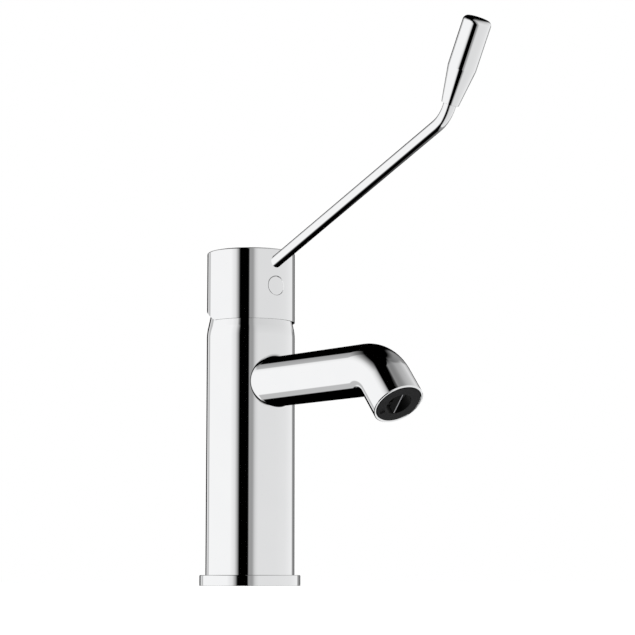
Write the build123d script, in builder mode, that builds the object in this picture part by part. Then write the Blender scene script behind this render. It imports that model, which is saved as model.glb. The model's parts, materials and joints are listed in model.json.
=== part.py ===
from build123d import *
import os
from math import cos, radians, sin, tan

# A single-lever basin mixer tap. Sizes are in millimetres. The tap stands on the
# basin at z = 0, its body stands on the Z axis, and spout and lever point to -Y.

# Clearances between pieces
screwed_gap = 0.05  # pushed or screwed together
seal_gap = 0.05  # a rubber seal in its groove
pin_gap = 0.06  # a hinge pin in its hole, on the radius
film_gap = 0.03  # the water film between the two ceramic discs
air_gap = 0.3  # surfaces that move past each other
seam_gap = 0.15  # the thin dark line where two chromed pieces meet
cartridge_gap = 0.1  # the cartridge's pieces in each other and in the body
overshoot = 1.0  # how far a cut runs past the face that it opens

# Body: a chromed brass casting, hollow below and bored from the top
body_top_z = 139.5
body_shell = 5.0  # from the cartridge to the outside
body_wall = 3.5
neck_l = 11.5
neck_slope = 12.0  # degrees from the vertical
neck_blend_r = 25.0
boss_z = 12.0  # lower ends of the inlet and stud bosses
waterway_r = 3.2
inlet_x = 6.5
inlet_y = -4.8
inlet_boss_r = 6.6
inlet_thread_r = 4.5
inlet_thread_l = 14.0
mixed_y = 6.0  # the mixed water comes down behind the axis
mixed_r = 4.0
mixed_slot_w = 4.6  # the oval way forward, between the two inlets
mixed_slot_h = 14.0
stud_y = 13.5
stud_boss_r = 6.0
stud_hole_r = 2.5
stud_hole_l = 16.0

# Base ring and its gasket
base_ledge = 3.0  # how far the ring stands out round the body
base_h = 5.3
base_lip_h = 2.2
base_lip_w = 2.5
base_edge = 0.4
gasket_w = 2.8
gasket_h = 1.3

# Spout: a bent tube with a spigot that screws into the body
spout_drop = 12.2  # from the cartridge's seat down to the spout's middle line
spout_r = 12.5
spout_wall = 2.1
spout_bend_y = 96.8  # from the axis to the start of the bend
spout_bend_r = 19.0
spout_turn = 50.6  # degrees
spout_tail = 14.3  # straight length after the bend
spout_root_l = 7.0  # solid root between the spigot and the tube's bore
spigot_r = 8.5
spigot_l = 11.0
spigot_bore_r = 6.0
spigot_floor = 5.3  # metal between the spigot's hole and the hollow below
spout_seal_depths = (4.1, 7.5)  # below the body's outside
spout_seal_r = 0.9  # radius of the ring's cord
outlet_edge = 0.35

# Outlet insert: a plain black flow straightener
insert_rim = 1.25  # the spout's metal round the insert
insert_gap = 0.1
insert_l = 8.0
insert_bore_r = 6.3
insert_lip = 2.05
insert_flare_l = 3.0
insert_edge = 0.4
key_slot_inset = 2.95
key_slot_l = 2.6
key_slot_w = 3.2
key_slot_depth = 1.0
key_slot_turn = 39.0  # degrees from the X axis
vane_w = 0.5
vane_l = 4.0
vane_set_back = 0.4
vane_turn = 10.0
outlet_seal_h = 1.2

# Cartridge: two ceramic discs in a plastic barrel
cartridge_r = 17.5
foot_gap = 0.2
foot_h = 3.8
foot_flange_h = 2.0
housing_wall = 1.5
peg_r = 1.5
peg_l = 2.4
peg_x = 10.5
peg_y = -11.0
port_r = 2.8
port_seal_w = 1.4
port_seal_h = 1.15
fixed_disc_h = 4.0
moving_disc_inset = 4.0  # room round the moving disc
moving_disc_flat = 1.5
moving_disc_h = 4.0
moving_disc_y = 1.9  # its middle lies this far back when the tap is shut
mixing_rim = 3.0
mixing_front_y = -0.8
mixing_depth = 2.4
disc_port_r = 2.5
carrier_h = 4.8
socket_gap = 0.2
skirt_gap = 0.4
guide_web = 1.7
guide_neck_r = 12.0
guide_slot_gap = 0.25  # beside the spindle
guide_slot_spare = 0.8  # before and behind it
guide_stand = 0.4
guide_seal_r = 0.8
housing_plate = 2.7
collar_wall = 2.3
collar_stand = 2.0  # how far the collar stands above the body
nut_ledge = 1.0
nut_wall = 1.2
nut_sunk = 3.67  # the nut's height within the body
nut_stand = 3.5
stop_h = 2.1
stop_lug_r = 11.0
stop_lug_turn = 20.0
stop_notches = 24
stop_notch_depth = 0.5
stop_notch_w = 1.4
swing_each_way = 45.0
swing_slack = 2.0

# Spindle and its pin
pivot_drop = 1.5  # from the body's top down to the pin
pivot_pin_r = 1.5
pivot_pin_inset = 0.2
spindle_w = 8.0
spindle_edge = 0.6
spindle_foot_l = 4.0  # square stretch below the pin
spindle_neck_r = 2.0
spindle_taper_l = 2.0
spindle_ball_r = 2.9
spindle_ball_rest = 0.37
spindle_drop = 10.6  # from the cap's top down to the spindle's
lift = 25.0

# Handle cap, the same diameter as the body
cap_drop = 5.8  # how far the rim hangs below the body's top
cap_h = 35.9
cap_wall = 1.1
cap_flare = 0.4
cap_flare_h = 7.3
cap_roof = 3.0
cap_edge = 0.4
cap_relief_spare = 1.0  # degrees cut away behind, beyond the lift
hub_clear = 2.0
hub_wall = 1.95
arm_wall = 1.02
arm_sunk = 0.1  # how far the arm's end lies in the cap's wall
nylon_wall = 3.5
nylon_top_gap = 0.3

# Screw and index plug in front of it
screw_drop = 18.9  # from the cap's top
screw_r = 2.5
screw_l = 10.0
screw_key = 2.5
screw_point = 1.2
plug_r = 4.87
plug_gap = 0.11
plug_depth = 4.0
plug_peg_r = 2.3
plug_peg_l = 2.6
plug_notch_r = 0.5
plug_notch_turn = 14.0

# Lever: a bent rod with a turned grip
rod_r = 3.0
rod_slope = 20.5
rod_drop = 14.88  # from the cap's top to where the rod's line meets the axis
rod_inset = 1.5  # its screwed end lies this far outside the hub
rod_corner_y = 155.35
rod_bend_r = 16.9
rod_turn = 40.0
grip_gap_l = 1.4  # bare rod between the bend and the grip
grip_thread_l = 14.0
grip_foot_wall = 1.14
grip_r = 6.68
grip_cone_l = 17.3
grip_l = 41.1
grip_edge = 1.5

# Radii that follow, from the cartridge outward
body_r = cartridge_r + body_shell
hollow_r = body_r - body_wall
neck_top_r = body_r - neck_l * tan(radians(neck_slope))
base_r = body_r + base_ledge
base_lip_r = body_r - base_lip_w
spigot_end_y = body_r - spigot_l
spout_bore_r = spout_r - spout_wall
insert_r = spout_r - insert_rim
insert_flare_r = insert_r - insert_lip
key_slot_r = insert_r - key_slot_inset
outlet_bore_l = insert_l + outlet_seal_h
housing_bore_r = cartridge_r - housing_wall
moving_disc_r = housing_bore_r - moving_disc_inset
mixing_r = moving_disc_r - mixing_rim
skirt_r = housing_bore_r - skirt_gap
collar_bore_r = guide_neck_r + air_gap
collar_r = collar_bore_r + collar_wall
nut_r = cartridge_r + nut_ledge
nut_bore_r = collar_r + 2 * cartridge_gap
pivot_pin_l = 2 * (guide_neck_r - pivot_pin_inset)
socket_r = spindle_ball_r + socket_gap
nylon_r = spindle_w / 2 + nylon_wall
hub_r = nylon_r + screwed_gap + hub_wall
arm_w = 2 * (plug_r + plug_gap + arm_wall)
cap_bore_r = body_r - cap_wall
rod_inner_y = hub_r + rod_inset
grip_foot_r = rod_r + grip_foot_wall

# Heights that follow, from the body's top down through the cartridge
neck_z = body_top_z - neck_l
shoulder_z = body_top_z - nut_sunk
housing_plate_z = shoulder_z - housing_plate
skirt_top_z = housing_plate_z - air_gap
pocket_top_z = skirt_top_z - guide_web
carrier_z = pocket_top_z - air_gap - carrier_h
moving_disc_z = carrier_z - moving_disc_h
fixed_disc_z = moving_disc_z - film_gap - fixed_disc_h
foot_z = fixed_disc_z - foot_h
housing_z = foot_z + foot_flange_h
seat_z = foot_z - foot_gap
skirt_z = moving_disc_z - film_gap + skirt_gap
spout_z = seat_z - spout_drop
hollow_top_z = spout_z - spigot_r - spigot_floor

# Heights that follow, from the body's top up
pivot_z = body_top_z - pivot_drop
spindle_square_z = pivot_z - spindle_foot_l
spindle_ball_z = carrier_z + spindle_ball_rest + spindle_ball_r
collar_top_z = body_top_z + collar_stand
nut_top_z = body_top_z + nut_stand
guide_top_z = collar_top_z + stop_h + guide_stand
hub_z = guide_top_z + hub_clear
cap_rim_z = body_top_z - cap_drop
cap_top_z = cap_rim_z + cap_h
cap_roof_z = cap_top_z - cap_roof
spindle_top_z = cap_top_z - spindle_drop
screw_z = cap_top_z - screw_drop
rod_axis_z = cap_top_z - rod_drop

# What follows from the lever's lift
disc_travel = (pivot_z - spindle_ball_z) * sin(radians(lift))
guide_slot_front = disc_travel + spindle_ball_r + guide_slot_spare
lean = (guide_top_z - pivot_z) * tan(radians(lift))
guide_slot_rear = spindle_w / 2 / cos(radians(lift)) + lean + guide_slot_spare
cap_relief = lift + cap_relief_spare

inlets = [(inlet_x, inlet_y), (-inlet_x, inlet_y)]
ports = inlets + [(0, mixed_y)]
studs = [(0, stud_y), (0, -stud_y)]
pegs = [(peg_x, peg_y), (-peg_x, peg_y)]


def along(turn_down):
    """The direction in the middle plane that points forward and turn_down degrees down."""
    return Vector(0, -cos(radians(turn_down)), -sin(radians(turn_down)))


def seat(origin, direction):
    """A plane with X across the tap, whose normal is the given direction."""
    return Plane(origin=origin, x_dir=(1, 0, 0), z_dir=direction)


def side_of(base):
    """The plane that holds the normal of base: its Y runs along that normal."""
    return Plane(origin=base.origin, x_dir=base.x_dir, z_dir=base.x_dir.cross(base.z_dir))


def turned(base, *outline, mode=Mode.ADD):
    """Turns an outline of (radius, height) points round the normal of base."""
    with BuildSketch(side_of(base)) as section:
        with BuildLine():
            Polyline(*outline, close=True)
        make_face()
    revolve(section.sketch, axis=Axis(base.origin, base.z_dir), mode=mode)


def seal_groove(base, outer_r, height, cord_r):
    """Cuts a square groove for a round seal into a turned face of the given radius."""
    half_w = cord_r + seal_gap
    turned(
        base,
        (outer_r - 2 * cord_r, height - half_w),
        (outer_r + overshoot, height - half_w),
        (outer_r + overshoot, height + half_w),
        (outer_r - 2 * cord_r, height + half_w),
        mode=Mode.SUBTRACT,
    )


def ring_seal(base, outer_r, height, cord_r):
    """A round rubber ring in that groove, at a height along the normal of base."""
    with BuildSketch(side_of(base)) as section:
        with Locations((outer_r - cord_r, height)):
            Circle(cord_r - seal_gap)
    revolve(section.sketch, axis=Axis(base.origin, base.z_dir))


def drilled(base, radius, depth, places=((0, 0),)):
    """Takes round holes of a depth out of the piece, along the normal of base."""
    with BuildSketch(base) as holes:
        with Locations(*places):
            Circle(radius)
    extrude(holes.sketch, amount=depth, mode=Mode.SUBTRACT)


def level(z):
    return Plane.XY.offset(z)


def wedge(half_turn, reach):
    """The corners of a sector behind the axis, half_turn degrees to each side."""
    side = reach * sin(radians(half_turn))
    near = reach * cos(radians(half_turn))
    return [(0, 0), (side, near), (side, reach), (-side, reach), (-side, near)]


upright = Plane.XY
forward = seat((0, 0, spout_z), along(0))

# The spout's middle line, from the body's axis to the outlet
spout_corner_l = spout_bend_r * tan(radians(spout_turn / 2))
spout_corner = Vector(0, -spout_bend_y - spout_corner_l, spout_z)
spout_end = spout_corner + along(spout_turn) * (spout_corner_l + spout_tail)
outlet = seat(spout_end, along(spout_turn))


def spout_path(start_y):
    """The spout's middle line from start_y in front of the axis to the outlet."""
    return FilletPolyline((0, -start_y, spout_z), spout_corner, spout_end, radius=spout_bend_r)


# The lever rod's middle line
rod_slope_dir = along(-rod_slope)
grip_dir = along(-rod_slope - rod_turn)
rod_corner = Vector(0, -rod_corner_y, rod_axis_z + rod_corner_y * tan(radians(rod_slope)))
rod_corner_l = rod_bend_r * tan(radians(rod_turn / 2))
rod_inner = Vector(0, -rod_inner_y, rod_axis_z + rod_inner_y * tan(radians(rod_slope)))
grip_foot = rod_corner + grip_dir * (rod_corner_l + grip_gap_l)
grip_end = grip_foot + grip_dir * grip_l
grip_seat = seat(grip_foot, grip_dir)
screw_seat = seat((0, 0, screw_z), along(0))
pin_plane = Plane(origin=(-pivot_pin_l / 2, 0, pivot_z), x_dir=(0, 1, 0), z_dir=(1, 0, 0))

# The cast body: a straight column with a tapered neck. It is hollow from below round
# four bosses, two for the inlets and two for the fixing studs.
with BuildPart() as body:
    turned(
        upright,
        (0, base_lip_h),
        (body_r, base_lip_h),
        (body_r, neck_z),
        (neck_top_r, body_top_z),
        (0, body_top_z),
    )
    neck_edge = body.edges().filter_by(GeomType.CIRCLE).sort_by_distance((0, -body_r, neck_z))[0]
    fillet(neck_edge, radius=neck_blend_r)
    drilled(level(base_lip_h), hollow_r, hollow_top_z - base_lip_h)
    with BuildSketch(level(boss_z)):
        with Locations(*inlets):
            Circle(inlet_boss_r)
        with Locations(*studs):
            Circle(stud_boss_r)
    extrude(amount=hollow_top_z - boss_z + overshoot)
    drilled(level(boss_z), inlet_thread_r, inlet_thread_l, inlets)
    drilled(level(boss_z), waterway_r, seat_z - boss_z, inlets)
    drilled(level(boss_z), stud_hole_r, stud_hole_l, studs)
    drilled(level(seat_z), cartridge_r + cartridge_gap, body_top_z - seat_z)
    drilled(level(shoulder_z - screwed_gap), nut_r + screwed_gap, nut_sunk + overshoot)
    drilled(level(foot_z - peg_l - seal_gap), peg_r + screwed_gap, peg_l, pegs)
    # The mixed water falls behind the inlets and runs forward between them
    drilled(level(spout_z), mixed_r, seat_z - spout_z, [(0, mixed_y)])
    slot_rear_y = mixed_y + mixed_slot_w / 2
    with BuildSketch(forward.offset(-slot_rear_y)):
        SlotOverall(mixed_slot_h, mixed_slot_w, rotation=90)
    extrude(amount=slot_rear_y + spigot_end_y, mode=Mode.SUBTRACT)
    drilled(forward.offset(spigot_end_y), spigot_r + screwed_gap, body_r)
body.part.label = "body"

# The base ring: the body stands in it, on its inner lip
with BuildPart() as base_ring:
    turned(
        upright,
        (base_lip_r, 0),
        (base_r, 0),
        (base_r, base_h - base_edge),
        (base_r - base_edge, base_h),
        (body_r + seam_gap, base_h),
        (body_r + seam_gap, base_lip_h),
        (base_lip_r, base_lip_h),
    )
    groove_w = gasket_w / 2 + seal_gap
    with BuildSketch(upright):
        Circle(body_r + groove_w)
        Circle(body_r - groove_w, mode=Mode.SUBTRACT)
    extrude(amount=gasket_h + seal_gap, mode=Mode.SUBTRACT)
base_ring.part.label = "base_ring"

# The flat rubber gasket under the base ring, in line with the body's wall
with BuildPart() as base_gasket:
    with BuildSketch(upright):
        Circle(body_r + gasket_w / 2)
        Circle(body_r - gasket_w / 2, mode=Mode.SUBTRACT)
    extrude(amount=gasket_h)
base_gasket.part.label = "base_gasket"

# The spout: its root follows the body's round, and its spigot screws into the body
with BuildPart() as spout_tube:
    with BuildLine() as outer_path:
        spout_path(spigot_end_y)
    with BuildSketch(forward.offset(spigot_end_y)):
        Circle(spout_r)
    sweep(path=outer_path.line)
    with BuildSketch(level(spout_z - 2 * spout_r)):
        Circle(body_r + seam_gap)
    extrude(amount=4 * spout_r, mode=Mode.SUBTRACT)
    with BuildSketch(forward.offset(spigot_end_y)):
        Circle(spigot_r)
    extrude(amount=spigot_l + spout_root_l / 2)
    for seal_depth in spout_seal_depths:
        seal_groove(forward, spigot_r, body_r - seal_depth, spout_seal_r)
    bore_start_y = body_r + spout_root_l
    drilled(forward.offset(spigot_end_y), spigot_bore_r, bore_start_y - spigot_end_y)
    with BuildLine() as bore_path:
        spout_path(bore_start_y)
    with BuildSketch(forward.offset(bore_start_y)):
        Circle(spout_bore_r)
    sweep(path=bore_path.line, mode=Mode.SUBTRACT)
    drilled(outlet.offset(-outlet_bore_l), insert_r + insert_gap, outlet_bore_l + overshoot)
    outer_rim = spout_tube.edges().filter_by(GeomType.CIRCLE).sort_by_distance(spout_end)
    outer_rim = outer_rim.filter_by(lambda edge: abs(edge.radius - spout_r) < outlet_edge)
    chamfer(outer_rim[0], length=outlet_edge)
spout_tube.part.label = "spout_tube"

# Two rubber rings seal the spigot in the body
with BuildPart() as spout_seals:
    for seal_depth in spout_seal_depths:
        ring_seal(forward, spigot_r, body_r - seal_depth, spout_seal_r)
spout_seals.part.label = "spout_seals"

# The black plastic outlet insert, with a plain bore, a thin vane and two key slots
with BuildPart() as outlet_insert:
    turned(
        outlet,
        (insert_bore_r, 0),
        (insert_r - insert_edge, 0),
        (insert_r, -insert_edge),
        (insert_r, -insert_l),
        (insert_flare_r, -insert_l),
        (insert_bore_r, -insert_l + insert_flare_l),
    )
    with BuildSketch(outlet.offset(-vane_set_back - vane_l)):
        Rectangle(vane_w, 2 * insert_bore_r + vane_w, rotation=vane_turn)
    extrude(amount=vane_l)
    with BuildSketch(outlet.offset(-key_slot_depth)):
        with PolarLocations(key_slot_r, 2, start_angle=key_slot_turn):
            Rectangle(key_slot_l, key_slot_w)
    extrude(amount=key_slot_depth + overshoot, mode=Mode.SUBTRACT)
outlet_insert.part.label = "outlet_insert"

# The flat rubber ring behind the insert
with BuildPart() as outlet_seal:
    with BuildSketch(outlet.offset(-outlet_bore_l)):
        Circle(insert_r)
        Circle(insert_flare_r, mode=Mode.SUBTRACT)
    extrude(amount=outlet_seal_h - seal_gap)
outlet_seal.part.label = "outlet_seal"

# The cartridge's foot: it closes the housing below and holds the seals
with BuildPart() as cartridge_foot:
    with BuildSketch(level(foot_z)):
        Circle(cartridge_r)
    extrude(amount=foot_flange_h)
    with BuildSketch(level(housing_z)):
        Circle(housing_bore_r - cartridge_gap)
    extrude(amount=foot_h - foot_flange_h)
    with BuildSketch(level(foot_z - peg_l + foot_gap)):
        with Locations(*pegs):
            Circle(peg_r)
    extrude(amount=peg_l)
    drilled(level(foot_z), port_r, foot_h, ports)
    for recess_z in (foot_z, fixed_disc_z - port_seal_h):
        drilled(level(recess_z), port_r + port_seal_w + seal_gap, port_seal_h, ports)
cartridge_foot.part.label = "cartridge_foot"


def flat_rings(bottom_z, height):
    """One flat rubber ring round each of the three ports."""
    with BuildSketch(level(bottom_z)) as rings:
        with Locations(*ports):
            Circle(port_r + port_seal_w)
            Circle(port_r + 2 * seal_gap, mode=Mode.SUBTRACT)
    extrude(rings.sketch, amount=height)


# Rubber rings between the body's seat and the foot, and between the foot and the disc
with BuildPart() as seat_seals:
    flat_rings(seat_z, port_seal_h + foot_gap - seal_gap)
seat_seals.part.label = "seat_seals"

with BuildPart() as disc_seals:
    flat_rings(fixed_disc_z - port_seal_h + seal_gap, port_seal_h - seal_gap)
disc_seals.part.label = "disc_seals"

# The fixed ceramic disc with its three ports
with BuildPart() as fixed_disc:
    with BuildSketch(level(fixed_disc_z)):
        Circle(housing_bore_r - cartridge_gap)
        with Locations(*inlets):
            Circle(disc_port_r, mode=Mode.SUBTRACT)
        with Locations((0, mixed_y)):
            Circle(mixed_r, mode=Mode.SUBTRACT)
    extrude(amount=fixed_disc_h)
fixed_disc.part.label = "fixed_disc"


def flatted_disc(bottom_z, height, grow=0.0, travel=0.0, mode=Mode.ADD):
    """A round plate with two flats, drawn out forward by travel."""
    radius = moving_disc_r + grow
    with BuildSketch(level(bottom_z)) as plan:
        with Locations((0, moving_disc_y), (0, moving_disc_y - travel)):
            Circle(radius)
        with Locations((0, moving_disc_y - travel / 2)):
            if travel:
                Rectangle(2 * radius, travel)
            Rectangle(2 * (radius - moving_disc_flat), 4 * radius, mode=Mode.INTERSECT)
    extrude(plan.sketch, amount=height, mode=mode)


# The moving ceramic disc: its mixing chamber lies over the outlet port when shut, and
# over the inlets too when it has slid forward
with BuildPart() as moving_disc:
    flatted_disc(moving_disc_z, moving_disc_h)
    with BuildSketch(level(moving_disc_z)) as chamber:
        with Locations((0, moving_disc_y)):
            Circle(mixing_r)
        with Locations((0, mixing_front_y)):
            Rectangle(4 * mixing_r, 4 * mixing_r, align=(Align.CENTER, Align.MIN), mode=Mode.INTERSECT)
    extrude(amount=mixing_depth, mode=Mode.SUBTRACT)
moving_disc.part.label = "moving_disc"

# The plastic carrier that the spindle's ball pushes
with BuildPart() as disc_carrier:
    flatted_disc(carrier_z, carrier_h)
    drilled(level(carrier_z), socket_r, carrier_h)
disc_carrier.part.label = "disc_carrier"

# The spindle guide: it turns in the housing and holds the spindle's pin
with BuildPart() as spindle_guide:
    turned(
        upright,
        (0, skirt_z),
        (skirt_r, skirt_z),
        (skirt_r, skirt_top_z),
        (guide_neck_r, skirt_top_z),
        (guide_neck_r, guide_top_z),
        (0, guide_top_z),
    )
    flatted_disc(skirt_z, pocket_top_z - skirt_z, air_gap, disc_travel, Mode.SUBTRACT)
    with BuildSketch(level(pocket_top_z)):
        with Locations((0, (guide_slot_rear - guide_slot_front) / 2)):
            Rectangle(spindle_w + 2 * guide_slot_gap, guide_slot_front + guide_slot_rear)
    extrude(amount=guide_top_z - pocket_top_z, mode=Mode.SUBTRACT)
    drilled(pin_plane.offset(-overshoot), pivot_pin_r + screwed_gap, pivot_pin_l + 2 * overshoot)
    guide_seal_z = (housing_plate_z + shoulder_z) / 2
    seal_groove(upright, guide_neck_r, guide_seal_z, guide_seal_r)
    # A shallow step behind, in which the stop's lug limits the swing
    with BuildSketch(level(collar_top_z - air_gap)):
        Circle(guide_neck_r + overshoot)
        Circle(stop_lug_r - air_gap, mode=Mode.SUBTRACT)
        half_step = swing_each_way + stop_lug_turn / 2 + swing_slack
        Polygon(wedge(half_step, 3 * guide_neck_r), mode=Mode.INTERSECT)
    extrude(amount=guide_top_z - collar_top_z + air_gap, mode=Mode.SUBTRACT)
spindle_guide.part.label = "spindle_guide"

# The rubber ring between the guide and the housing
with BuildPart() as guide_seal:
    ring_seal(upright, guide_neck_r, guide_seal_z, guide_seal_r)
guide_seal.part.label = "guide_seal"

# The steel pin that the spindle rocks on
with BuildPart() as pivot_pin:
    with BuildSketch(pin_plane):
        Circle(pivot_pin_r)
    extrude(amount=pivot_pin_l)
pivot_pin.part.label = "pivot_pin"

# The cartridge's housing: a barrel with a top plate and a collar round the guide
with BuildPart() as cartridge_housing:
    turned(
        upright,
        (housing_bore_r, housing_z),
        (cartridge_r, housing_z),
        (cartridge_r, shoulder_z),
        (collar_r, shoulder_z),
        (collar_r, collar_top_z),
        (collar_bore_r, collar_top_z),
        (collar_bore_r, housing_plate_z),
        (housing_bore_r, housing_plate_z),
    )
cartridge_housing.part.label = "cartridge_housing"

# The temperature stop: a notched ring on the collar, with a lug that the guide's step meets
with BuildPart() as temperature_stop:
    with BuildSketch(level(collar_top_z)):
        Circle(collar_r)
        Circle(collar_bore_r, mode=Mode.SUBTRACT)
        with PolarLocations(collar_r, stop_notches):
            Rectangle(2 * stop_notch_depth, stop_notch_w, mode=Mode.SUBTRACT)
    extrude(amount=stop_h)
    with BuildSketch(level(collar_top_z)):
        Circle(collar_bore_r + collar_wall / 2)
        Circle(stop_lug_r, mode=Mode.SUBTRACT)
        Polygon(wedge(stop_lug_turn / 2, collar_r), mode=Mode.INTERSECT)
    extrude(amount=stop_h)
temperature_stop.part.label = "temperature_stop"

# The brass nut that clamps the cartridge on its seat
with BuildPart() as cartridge_nut:
    with BuildSketch(level(shoulder_z)):
        Circle(nut_r)
    extrude(amount=nut_sunk)
    with BuildSketch(level(body_top_z)):
        RegularPolygon(radius=nut_bore_r + nut_wall, side_count=6, major_radius=False)
    extrude(amount=nut_stand)
    drilled(level(shoulder_z), nut_bore_r, nut_sunk + nut_stand)
cartridge_nut.part.label = "cartridge_nut"

# The spindle: square above the pin for the handle, with a ball below that moves the disc
with BuildPart() as spindle:
    with BuildSketch(level(spindle_square_z)):
        Rectangle(spindle_w, spindle_w)
    extrude(amount=spindle_top_z - spindle_square_z)
    chamfer(spindle.faces().sort_by(Axis.Z)[-1].edges(), length=spindle_edge)
    with BuildSketch(level(spindle_ball_z)):
        Circle(spindle_neck_r)
    extrude(amount=spindle_square_z - spindle_ball_z)
    turned(
        upright,
        (0, spindle_square_z - spindle_taper_l),
        (spindle_neck_r, spindle_square_z - spindle_taper_l),
        (spindle_w / 2, spindle_square_z),
        (0, spindle_square_z),
    )
    with Locations((0, 0, spindle_ball_z)):
        Sphere(spindle_ball_r)
    drilled(pin_plane, pivot_pin_r + pin_gap, pivot_pin_l)
spindle.part.label = "spindle"

# The plane that the cap and its hub are cut back to behind the pivot, for the tilt
relief_dir = (0, -sin(radians(cap_relief)), cos(radians(cap_relief)))


def relief(height, reach):
    """Cuts away what lies under the tilted plane behind the axis, as far out as reach."""
    with BuildSketch(seat((0, 0, height), relief_dir)) as cut:
        Rectangle(2 * reach, reach / cos(radians(cap_relief)), align=(Align.CENTER, Align.MIN))
    extrude(cut.sketch, amount=-reach, mode=Mode.SUBTRACT)


# The handle cap: a turned shell with a hub for the spindle and an arm for rod and screw
with BuildPart() as handle_cap:
    turned(
        upright,
        (0, cap_top_z),
        (0, cap_roof_z),
        (cap_bore_r, cap_roof_z),
        (cap_bore_r, cap_rim_z + cap_flare_h),
        (cap_bore_r + cap_flare, cap_rim_z),
        (body_r, cap_rim_z),
        (body_r, cap_top_z),
    )
    fillet(handle_cap.edges().filter_by(GeomType.CIRCLE).sort_by(Axis.Z)[-1], radius=cap_edge)
    with BuildSketch(level(hub_z)):
        Circle(hub_r)
        Rectangle(arm_w, cap_bore_r + arm_sunk, align=(Align.CENTER, Align.MAX))
    extrude(amount=cap_roof_z - hub_z + cap_roof / 2)
    drilled(level(hub_z), nylon_r + screwed_gap, cap_roof_z - hub_z)
    relief(cap_rim_z, body_r + overshoot)
    relief(hub_z, hub_r + overshoot)
    drilled(screw_seat.offset(spindle_w / 2), screw_r + screwed_gap, body_r)
    drilled(screw_seat.offset(body_r - plug_depth - plug_gap), plug_r + plug_gap, body_r)
    drilled(seat(rod_inner, rod_slope_dir), rod_r + screwed_gap, body_r)
handle_cap.part.label = "handle_cap"

# The nylon sleeve between the cap's hub and the spindle's square
with BuildPart() as spindle_sleeve:
    with BuildSketch(level(hub_z)):
        Circle(nylon_r)
        Rectangle(spindle_w + 2 * screwed_gap, spindle_w + 2 * screwed_gap, mode=Mode.SUBTRACT)
    extrude(amount=cap_roof_z - nylon_top_gap - hub_z)
    relief(hub_z, hub_r + overshoot)
    drilled(screw_seat, screw_r + screwed_gap, body_r)
spindle_sleeve.part.label = "spindle_sleeve"

# The hexagon-socket screw that locks the cap to the spindle
with BuildPart() as handle_screw:
    screw_y = spindle_w / 2 + screwed_gap
    turned(
        screw_seat,
        (0, screw_y),
        (screw_r - screw_point, screw_y),
        (screw_r, screw_y + screw_point),
        (screw_r, screw_y + screw_l),
        (0, screw_y + screw_l),
    )
    with BuildSketch(screw_seat.offset(screw_y + screw_l)):
        RegularPolygon(radius=screw_key / 2, side_count=6, major_radius=False)
    extrude(amount=-screw_key, mode=Mode.SUBTRACT)
handle_screw.part.label = "handle_screw"

# The index plug: flush with the cap's round, with a small notch to lift it out by
with BuildPart() as index_plug:
    with BuildSketch(screw_seat.offset(body_r - plug_depth)):
        Circle(plug_r)
    extrude(amount=body_r)
    with BuildSketch(screw_seat.offset(body_r - plug_depth - plug_peg_l)):
        Circle(plug_peg_r)
    extrude(amount=plug_peg_l)
    notch_turn = radians(plug_notch_turn)
    notch = (plug_r * sin(notch_turn), plug_r * cos(notch_turn))
    drilled(screw_seat.offset(body_r - plug_depth / 2), plug_notch_r, body_r, [notch])
    with BuildSketch(level(screw_z - 2 * plug_r)):
        Circle(body_r)
    extrude(amount=4 * plug_r, mode=Mode.INTERSECT)
index_plug.part.label = "index_plug"

# The lever rod: screwed into the cap's arm, bent up at the end
with BuildPart() as lever_rod:
    with BuildLine() as rod_path:
        rod_end = grip_foot + grip_dir * grip_thread_l
        FilletPolyline(rod_inner, rod_corner, rod_end, radius=rod_bend_r)
    with BuildSketch(seat(rod_inner, rod_slope_dir)):
        Circle(rod_r)
    sweep(path=rod_path.line)
lever_rod.part.label = "lever_rod"

# The grip: a turned cone and cylinder, screwed on the rod's end
with BuildPart() as lever_grip:
    turned(
        grip_seat,
        (rod_r + screwed_gap, 0),
        (grip_foot_r, 0),
        (grip_r, grip_cone_l),
        (grip_r, grip_l),
        (0, grip_l),
        (0, grip_thread_l + air_gap),
        (rod_r + screwed_gap, grip_thread_l + air_gap),
    )
    end_edges = lever_grip.edges().filter_by(GeomType.CIRCLE).sort_by_distance(grip_end)
    fillet(end_edges[0], radius=grip_edge)
lever_grip.part.label = "lever_grip"

pieces = [
    body,
    base_ring,
    base_gasket,
    spout_tube,
    spout_seals,
    outlet_insert,
    outlet_seal,
    cartridge_foot,
    seat_seals,
    disc_seals,
    fixed_disc,
    moving_disc,
    disc_carrier,
    spindle_guide,
    guide_seal,
    pivot_pin,
    cartridge_housing,
    temperature_stop,
    cartridge_nut,
    spindle,
    handle_cap,
    spindle_sleeve,
    handle_screw,
    index_plug,
    lever_rod,
    lever_grip,
]
os.makedirs("parts", exist_ok=True)
for piece in pieces:
    export_step(piece.part, f"parts/{piece.part.label}.step")
    print(piece.part.label, round(piece.part.volume), "mm3")
print("outlet centre", spout_end, "direction", along(spout_turn))
print("pivot height", round(pivot_z, 3), "disc travel", round(disc_travel, 3))
print("disc travel per radian", round(disc_travel / radians(lift), 4))
print("highest point of the grip's axis", round(grip_end.Z, 2))
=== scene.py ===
import json
from math import cos, pi, radians, sin, sqrt, tan

import bmesh
import bpy
from mathutils import Matrix, Vector

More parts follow.
